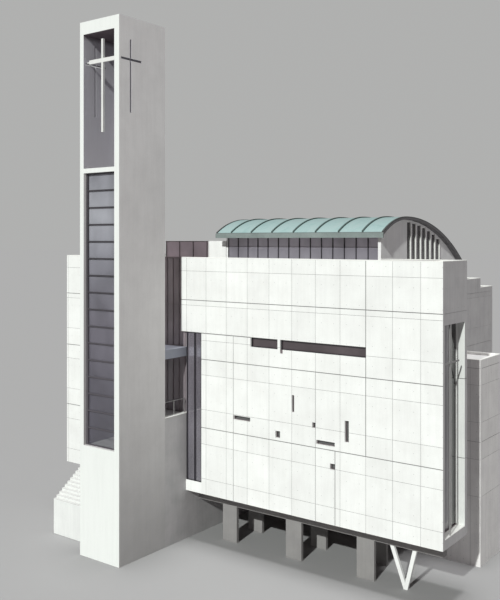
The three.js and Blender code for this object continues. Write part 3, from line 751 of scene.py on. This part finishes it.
def grooved_wall(shape, place, along, up, thickness, grooves, holes=()):
    """A wall from a grid of cells: each is full, set back in a groove, or open.

    Holes are (u0, u1, z0, z1), grooves the same with their depth. A groove's faces are of kind 1.
    """
    u_edges = cell_edges(along, [*grooves, *holes], 0)
    z_edges = cell_edges(up, [*grooves, *holes], 2)
    steps = sorted({0.0, *(r[4] for r in grooves), thickness})

    def depth_at(u, z):
        """How far the wall's face is set back at a point."""
        if any(r[0] < u < r[1] and r[2] < z < r[3] for r in holes):
            return thickness
        return max((r[4] for r in grooves if r[0] < u < r[1] and r[2] < z < r[3]), default=0.0)

    u_middles = [(a + b) / 2 for a, b in zip(u_edges, u_edges[1:])]
    z_middles = [(a + b) / 2 for a, b in zip(z_edges, z_edges[1:])]
    columns = [[depth_at(u, z) for z in z_middles] for u in u_middles]

    def depth(i, j):
        """The same for a cell; beyond the wall it is open."""
        inside = 0 <= i < len(u_middles) and 0 <= j < len(z_middles)
        return columns[i][j] if inside else thickness

    def side(i, j, other, points):
        """The step between two cells, cut at every depth in use so that all edges meet."""
        shallow, deep = sorted((depth(i, j), depth(*other)))
        (ua, za), (ub, zb) = points
        kind = 1 if deep < thickness else 0
        for low, high in zip(steps, steps[1:]):
            if shallow <= low and high <= deep:
                corners = [(ua, low, za), (ub, low, zb), (ub, high, zb), (ua, high, za)]
                shape.face([place(*corner) for corner in corners], kind)

    for i in range(-1, len(u_middles)):
        for j in range(-1, len(z_middles)):
            if j >= 0:
                side(i, j, (i + 1, j), [(u_edges[i + 1], z_edges[j]), (u_edges[i + 1], z_edges[j + 1])])
            if i >= 0:
                side(i, j, (i, j + 1), [(u_edges[i], z_edges[j + 1]), (u_edges[i + 1], z_edges[j + 1])])
            if i < 0 or j < 0 or depth(i, j) >= thickness:
                continue
            (left, right), (bottom, top) = u_edges[i:i + 2], z_edges[j:j + 2]
            corners = [(left, bottom), (right, bottom), (right, top), (left, top)]
            set_back = depth(i, j)
            shape.face([place(u, set_back, z) for u, z in corners], 1 if set_back > 0 else 0)
            shape.face([place(u, thickness, z) for u, z in corners])


def level_joints(levels, width, depth):
    """Grooves along the whole wall at these levels."""
    return [(*EVERYWHERE, z - width / 2, z + width / 2, depth) for z in levels]


def upright_joints(positions, width, depth, up=EVERYWHERE):
    """Upright grooves at these places along the wall."""
    return [(u - width / 2, u + width / 2, *up, depth) for u in positions]


def pitch_lines(span, start, edge=0.0):
    """The places a panel pitch apart, counted from start, that lie inside a span and off its ends."""
    first = math.ceil((span[0] - start) / PANEL_PITCH)
    last = math.floor((span[1] - start) / PANEL_PITCH)
    places = (start + PANEL_PITCH * n for n in range(first, last + 1))
    return [u for u in places if span[0] + edge < u < span[1] - edge]


def plain_grid(along, start=PANEL_START, strong=STRONG_JOINT):
    """The joints of a wall with nothing special on it: the fine grid and the strong levels."""
    return [
        *level_joints(LEVELS, FINE_JOINT, FINE_DEPTH),
        *level_joints(STRONG_LEVELS, strong, STRONG_DEPTH),
        *upright_joints(pitch_lines(along, start, edge=0.1), FINE_JOINT, FINE_DEPTH),
    ]


def front_wall():
    """The panelled front with its windows and the opening of the glazed corner."""
    band_joint = 0.06
    grooves = plain_grid(FRONT_X)
    for place, low, high, width, depth in WIDE_JOINTS:
        grooves.extend(upright_joints([place], width, depth, (low, high)))
    grooves.append(
        (EVERYWHERE[0], FRONT_WINDOWS[0][0], BAND_BOTTOM - band_joint, BAND_BOTTOM, STRONG_DEPTH)
    )
    open_corner = (EVERYWHERE[0], CORNER_X[1], EVERYWHERE[0], BAND_BOTTOM)
    shape = Shape()
    grooved_wall(
        shape, facing("front", FRONT_Y[0]), FRONT_X, (FLOOR_LINE, PARAPET - COPING), WALL,
        grooves, [open_corner, NOTCH, *FRONT_WINDOWS],
    )
    shape.paint_end(FRONT_X[1], 2)
    skins = ["white", "joint", "grey"]
    shape.make("front_panels", "white_concrete", skins, merge=True, replaces=["front_wall"])


def left_wing_walls():
    """The left wing's front, its end over the open undercroft bay, and its back with windows."""
    bay = (EVERYWHERE[0], reach("undercroft_back_wall")[1][0], EVERYWHERE[0], FLOOR_LINE)
    for name, node, side, start, holes in (
        ("left_front_panels", "left_wing_front_wall", "front", PANEL_START, []),
        ("left_end_panels", "left_wing_end_wall", "left", 0.0, [bay]),
        ("left_back_panels", "left_wing_back_wall", "back", PANEL_START, BACK_WINDOWS),
    ):
        x, y, z = reach(node)
        along = y if side == "left" else x
        outer = {"front": y[0], "left": x[0], "back": y[1]}[side]
        up = (z[0], z[1] - COPING)
        shape = Shape()
        grooved_wall(shape, facing(side, outer), along, up, WALL, plain_grid(along, start), holes)
        shape.make(name, "white_concrete", ["white", "joint"], merge=True, replaces=[node])


def free_sides(node, sides, width):
    """The side, outer face and run of a block's free walls; front and back ones take the corners."""
    (left, right), (front, back), _ = reach(node)
    between = (front + (width if "front" in sides else 0), back - width)
    walls = {
        "left": (left, between),
        "right": (right, between),
        "back": (back, (left, right)),
        "front": (front, (left, right)),
    }
    return [(side, *walls[side]) for side in sides]


def block_walls():
    """The joined walls of each block, with the panel grid on them."""
    for name, node, sides, skin in BLOCKS:
        shape = Shape()
        up = (0.0, reach(node)[2][1] - COPING)
        for side, outer, along in free_sides(node, sides, WALL):
            start = 0.0 if side in ("left", "right") else PANEL_START
            grid = plain_grid(along, start, STRONG_JOINT if side == "back" else BLOCK_JOINT)
            grooved_wall(shape, facing(side, outer), along, up, WALL, grid)
        shape.make(name, "grey_concrete", [skin, "seal"], merge=True, replaces=[node])


def gable_panels():
    """Thin panels on the hall's right end wall, up to the level of the slots."""
    thickness = 0.02
    margin = 0.04
    block_back = reach("front_block_back_wall")[1][1]
    along = (block_back + margin + FINE_JOINT / 2, HALL_Y[1] - margin)
    up = (FLOOR_LINE + 0.02, LEVELS[-1] - 0.03)
    grooves = [
        *level_joints(LEVELS[:-1], FINE_JOINT, thickness),
        *level_joints(STRONG_LEVELS, FINE_JOINT, thickness),
        *upright_joints(pitch_lines(along, 0.0), FINE_JOINT, thickness),
    ]
    _, wing_y, wing_z = reach("side_wing_walls")
    clear = 0.03
    side_wing = (wing_y[0] - clear, wing_y[1] + clear, EVERYWHERE[0], wing_z[1] + 0.02)
    shape = Shape()
    grooved_wall(shape, facing("right", HALL_X[1] + thickness), along, up, thickness, grooves, [side_wing])
    shape.make("gable_panels", "grey_concrete", ["gable", "seal"], merge=True)


def storeys(shape, x, y, levels, width, filling, front=0):
    """Blocks between levels, with a joint at each inner level that is filled a little behind the face."""
    joint = width / 2
    for low, high in zip(levels, levels[1:]):
        bottom = low + (joint if low != levels[0] else 0)
        top = high - (joint if high != levels[-1] else 0)
        shape.box(x, y, (bottom, top), front=front)
    for level in levels[1:-1]:
        core_x, core_y = (x[0], x[1] - STRONG_DEPTH), (y[0] + STRONG_DEPTH, y[1])
        shape.box(core_x, core_y, (level - joint, level + joint), filling)


def side_wall():
    """The front block's right end: a frame round the tall recess, in blocks with real joints between."""
    x, y, _ = reach("side_wall")
    beside = [FLOOR_LINE, *STRONG_LEVELS[:2], RECESS_Z[1]]
    above = [RECESS_Z[1], STRONG_LEVELS[2], PARAPET - COPING]
    shape = Shape()
    storeys(shape, x, (RECESS_Y[1], y[1]), beside, STRONG_JOINT, filling=1, front=2)
    storeys(shape, x, y, above, FINE_JOINT, filling=3)
    shape.box(x, RECESS_Y, (FLOOR_LINE, RECESS_Z[0]))
    skins = ["grey", "joint", "reveal", "seal"]
    shape.make("side_wall_blocks", "grey_concrete", skins, replaces=["side_wall"])


def side_window():
    """The sill of the tall recess, and its window's bars: one dark upright and two pale ones."""
    pane = reach("side_glass")[0][1]
    sill_top = RECESS_Z[0] + 0.04
    sill = Shape()
    sill.box((pane, -0.005), (RECESS_Y[0] + 0.01, RECESS_Y[1] - 0.01), (RECESS_Z[0], sill_top))
    sill.make("side_recess_sill", "white_concrete", ["coping"], bevel=0.008)

    # The uprights, as where each starts, its width and its kind
    bar = 0.05
    bars = Shape()
    for y, width, kind in ((RECESS_Y[0], bar, 0), (2.39, 0.08, 1), (RECESS_Y[1] - 0.03, 0.03, 1)):
        bars.box((pane, pane + 0.08), (y, y + width), (sill_top, RECESS_Z[1]), kind)
    for z in (sill_top, RECESS_Z[1] - bar):
        bars.box((pane + 0.005, pane + 0.075), RECESS_Y, (z, z + bar))
    bars.make("side_window_bars", "dark_metal", ["bronze", "cross"], bevel=0.004)


def vault_height(y, above=0.0):
    """The level of the vault at y, or of a face that runs at a distance above it."""
    radius = FRONT_RADIUS if y < RIDGE_Y else BACK_RADIUS
    return VAULT_TOP - radius + math.sqrt((radius + above) ** 2 - (y - RIDGE_Y) ** 2)


def arc_strip(shape, x, short, low, high, steps=72):
    """A closed strip over the vault between two heights on it, that stops short of the eaves."""
    y = (VAULT_Y[0] + short, VAULT_Y[1] - short)
    rings = []
    for n in range(steps + 1):
        here = y[0] + (y[1] - y[0]) * n / steps
        bottom, top = vault_height(here, low), vault_height(here, high)
        rings.append([(x[0], here, bottom), (x[1], here, bottom), (x[1], here, top), (x[0], here, top)])
    for a, b in zip(rings, rings[1:]):
        for k in range(4):
            shape.face([a[k], a[(k + 1) % 4], b[(k + 1) % 4], b[k]])
    shape.face(rings[0])
    shape.face(rings[-1])


def vault():
    """Sheet pans between ribs, and a rim along each gable."""
    rib = 0.065
    lap = 0.06
    rim = 0.14
    edge = 0.002
    left_end, right_end = VAULT_X
    ribs_x = [RIB_START - PANEL_PITCH * n for n in range(RIB_COUNT)]
    seams = [right_end - 0.10, *ribs_x, left_end + 0.10]
    pans, ribs, rims = Shape(), Shape(), Shape()
    for right, left in zip(seams, seams[1:]):
        arc_strip(pans, (left + lap, right - lap), short=0.01, low=0.004, high=0.03)
    for x in ribs_x:
        arc_strip(ribs, (x - rib, x + rib), short=0.005, low=-0.01, high=0.10)
    for x in ((right_end - rim, right_end - edge), (left_end + edge, left_end + rim)):
        arc_strip(rims, x, short=0.005, low=-0.01, high=0.06)
    pans.make("roof_pans", "roof_metal", ["roof"], merge=True)
    ribs.make("roof_ribs", "roof_metal", ["seam"], merge=True)
    rims.make("roof_rims", "fascia_metal", ["edge"], merge=True)


def copings():
    """Pale sheet on every parapet, and on the wall between the tower and the hall."""
    lip = 0.04
    wide = WALL + lip
    narrow = WALL + 0.03
    side_x, side_y, _ = reach("side_wall")
    back_x, back_y, _ = reach("front_block_back_wall")
    wing_x = reach("left_wing_front_wall")[0]
    rear_x, rear_y, _ = reach("left_wing_back_wall")
    shape = Shape()
    for x, y in (
        (FRONT_X, (FRONT_Y[0], wide)),
        ((side_x[0] - lip, side_x[1]), (wide, side_y[1])),
        ((back_x[0], side_x[0] - lip), (back_y[0] - lip, back_y[1] + 0.02)),
        (wing_x, (FRONT_Y[0], wide)),
        ((wing_x[0], wing_x[0] + wide), (wide, rear_y[1])),
        ((wing_x[0] + wide, rear_x[1]), (rear_y[1] - wide, rear_y[1])),
    ):
        shape.box(x, y, (PARAPET - COPING, PARAPET))
    for _, node, sides, _ in BLOCKS:
        top = reach(node)[2][1]
        for side, outer, along in free_sides(node, sides, narrow):
            shape.fitted(facing(side, outer), along, (0.0, narrow), (top - COPING, top))
    shape.make("parapet_copings", "white_concrete", ["coping"], bevel=0.012)

    link_x, link_y, link_z = reach("link_wall")
    gallery_back = reach("gallery_floor")[1][1]
    link = Shape()
    link.box(
        (link_x[0] - 0.02, link_x[1] + 0.015), (link_y[0], gallery_back), (link_z[1], link_z[1] + 0.05)
    )
    link.make("link_coping", "white_concrete", ["coping"], bevel=0.01)


def window_frames():
    """A frame in every window: dark in the long ones, paler in the small ones, which have no bars."""
    bar = 0.045
    deep = (0.13, 0.215)
    long = 2.0
    back_line = reach("left_wing_back_wall")[1][1]
    shape = Shape()
    for side, outer, windows in (("front", FRONT_Y[0], FRONT_WINDOWS), ("back", back_line, BACK_WINDOWS)):
        place = facing(side, outer)
        for left, right, bottom, top in windows:
            kind = 0 if right - left > long else 1
            shape.fitted(place, (left, left + bar), deep, (bottom, top), kind)
            shape.fitted(place, (right - bar, right), deep, (bottom, top), kind)
            shape.fitted(place, (left + bar, right - bar), deep, (bottom, bottom + bar), kind)
            shape.fitted(place, (left + bar, right - bar), deep, (top - bar, top), kind)
            if side == "back":
                middle = (left + right) / 2
                shape.fitted(place, (middle - bar / 2, middle + bar / 2), deep, (bottom + bar, top - bar))
    shape.box(NOTCH[:2], (0.06, 0.09), NOTCH[2:], 1)
    shape.make("window_frames", "dark_metal", ["metal", "bronze"], bevel=0.005)


def corner_bars():
    """Three mullions and two rails in the glazed corner."""
    rail = 0.06
    shape = Shape()
    # The middle and the width of each mullion
    for x, width in ((CORNER_X[0] + 0.06, 0.08), (CORNER_X[0] + 0.82, 0.12), (CORNER_X[1] - 0.04, 0.07)):
        shape.box((x - width / 2, x + width / 2), (0.03, 0.20), CORNER_Z)
    for z in (CORNER_Z[0], CORNER_Z[1] - rail):
        shape.box(CORNER_X, (0.05, 0.18), (z, z + rail))
    shape.make("corner_mullions", "dark_metal", ["metal"], bevel=0.008)


def lobby_bars():
    """Mullions and rails on the lobby's three storeys, and on the glazed storey on the roof."""
    left, right = -24.40, -20.80
    panes = 6
    rail = 0.06
    transom = 17.5
    porch = reach("porch_floor")[2][1]
    terrace = reach("terrace_slab")[2]
    bridge = reach("bridge_slab")[2]
    levels = ((porch, terrace[0]), (terrace[1], bridge[0]), (bridge[1], PARAPET - COPING))
    shape = Shape()
    for n in range(panes + 1):
        x = left + (right - left) * n / panes
        for z in levels:
            shape.box((x - 0.02, x + 0.02), (0.19, WALL), z)
    for z in (transom, *(z for low, high in levels for z in (low, high - rail))):
        shape.box((left, right), (0.18, WALL), (z, z + rail))

    top_x, top_y, top_z = reach("top_storey_glazing")
    top_panes = 3
    y = (top_y[0] - 0.06, top_y[0])
    first, last = top_x[0] + 0.08, top_x[1] - 0.08
    for n in range(top_panes + 1):
        x = first + (last - first) * n / top_panes
        shape.box((x - 0.025, x + 0.025), y, top_z)
    for z in (top_z[0], top_z[1] - 0.06):
        shape.box((top_x[0] + 0.02, top_x[1] - 0.02), y, (z, z + 0.055))
    shape.make("lobby_mullions", "dark_metal", ["bronze"], bevel=0.006)


def gable_fins():
    """Dark panes in the slots of the hall's end wall, with thin white fins at their rear edges."""
    pane_x = (HALL_X[1] - 0.05, HALL_X[1] - 0.01)
    fin_x = (HALL_X[0] + 0.01, HALL_X[1] + 0.07)
    panes = Shape()
    fins = Shape()
    for n in range(SLOT_COUNT):
        front = SLOT_START + SLOT_PITCH * n
        rear = front + SLOT_WIDTH
        top = vault_height(rear, -SLOT_DROP)
        panes.box(pane_x, (front + 0.002, rear - 0.002), (SLOT_SILL + 0.002, top - 0.002))
        fins.box(fin_x, (rear - 0.001, rear + 0.035), (SLOT_SILL, top - 0.01))
    panes.make("gable_panes", "dark_glass", ["slot"])
    fins.make("gable_fins", "white_concrete", ["coping"], bevel=0.006)


def stair_treads():
    """A stone tread on each step, with its nose over the riser and its sides short of the flight's."""
    x, y, z = reach("entrance_steps")
    count = 10
    going = 0.27
    rise = 0.2
    thickness = 0.03
    shape = Shape()
    for n in range(count):
        front = y[0] + going * n
        back = front + going if n < count - 1 else y[1]
        top = z[0] + rise * (n + 1)
        shape.box((x[0] + 0.02, x[1] - 0.02), (front - 0.025, back - 0.03), (top, top + thickness))
    shape.make("stair_treads", "white_concrete", ["tread"], bevel=0.006)


def soffit_boards():
    """Boards under the raised floor, with none narrower than the least width."""
    width = BOARD_PITCH - 0.01
    least = 0.05
    up = (FLOOR_LINE - 0.025, FLOOR_LINE - 0.0005)
    shape = Shape()
    for x, y in SOFFIT_BAYS:
        for n in range(math.ceil((y[1] - least - y[0]) / BOARD_PITCH)):
            start = y[0] + BOARD_PITCH * n
            shape.box(x, (start, min(start + width, y[1])), up)
    shape.make("soffit_boards", "soffit_panel", ["soffit"], bevel=0.004)


def pier_bases():
    """A plate at the foot of each pier."""
    half = 0.69
    lip = 0.04
    shape = Shape()
    for node, centres in PIERS.items():
        front = reach(node)[1][0]
        for centre in centres:
            shape.box((centre - half, centre + half), (front - lip, front + WALL + lip), (0.0, 0.04))
    shape.make("pier_bases", "soffit_panel", ["pier"], bevel=0.01)


make_camera()
make_light()
make_floor()
dress_nodes()
front_wall()
left_wing_walls()
block_walls()
gable_panels()
side_wall()
side_window()
vault()
copings()
window_frames()
corner_bars()
lobby_bars()
gable_fins()
stair_treads()
soffit_boards()
pier_bases()
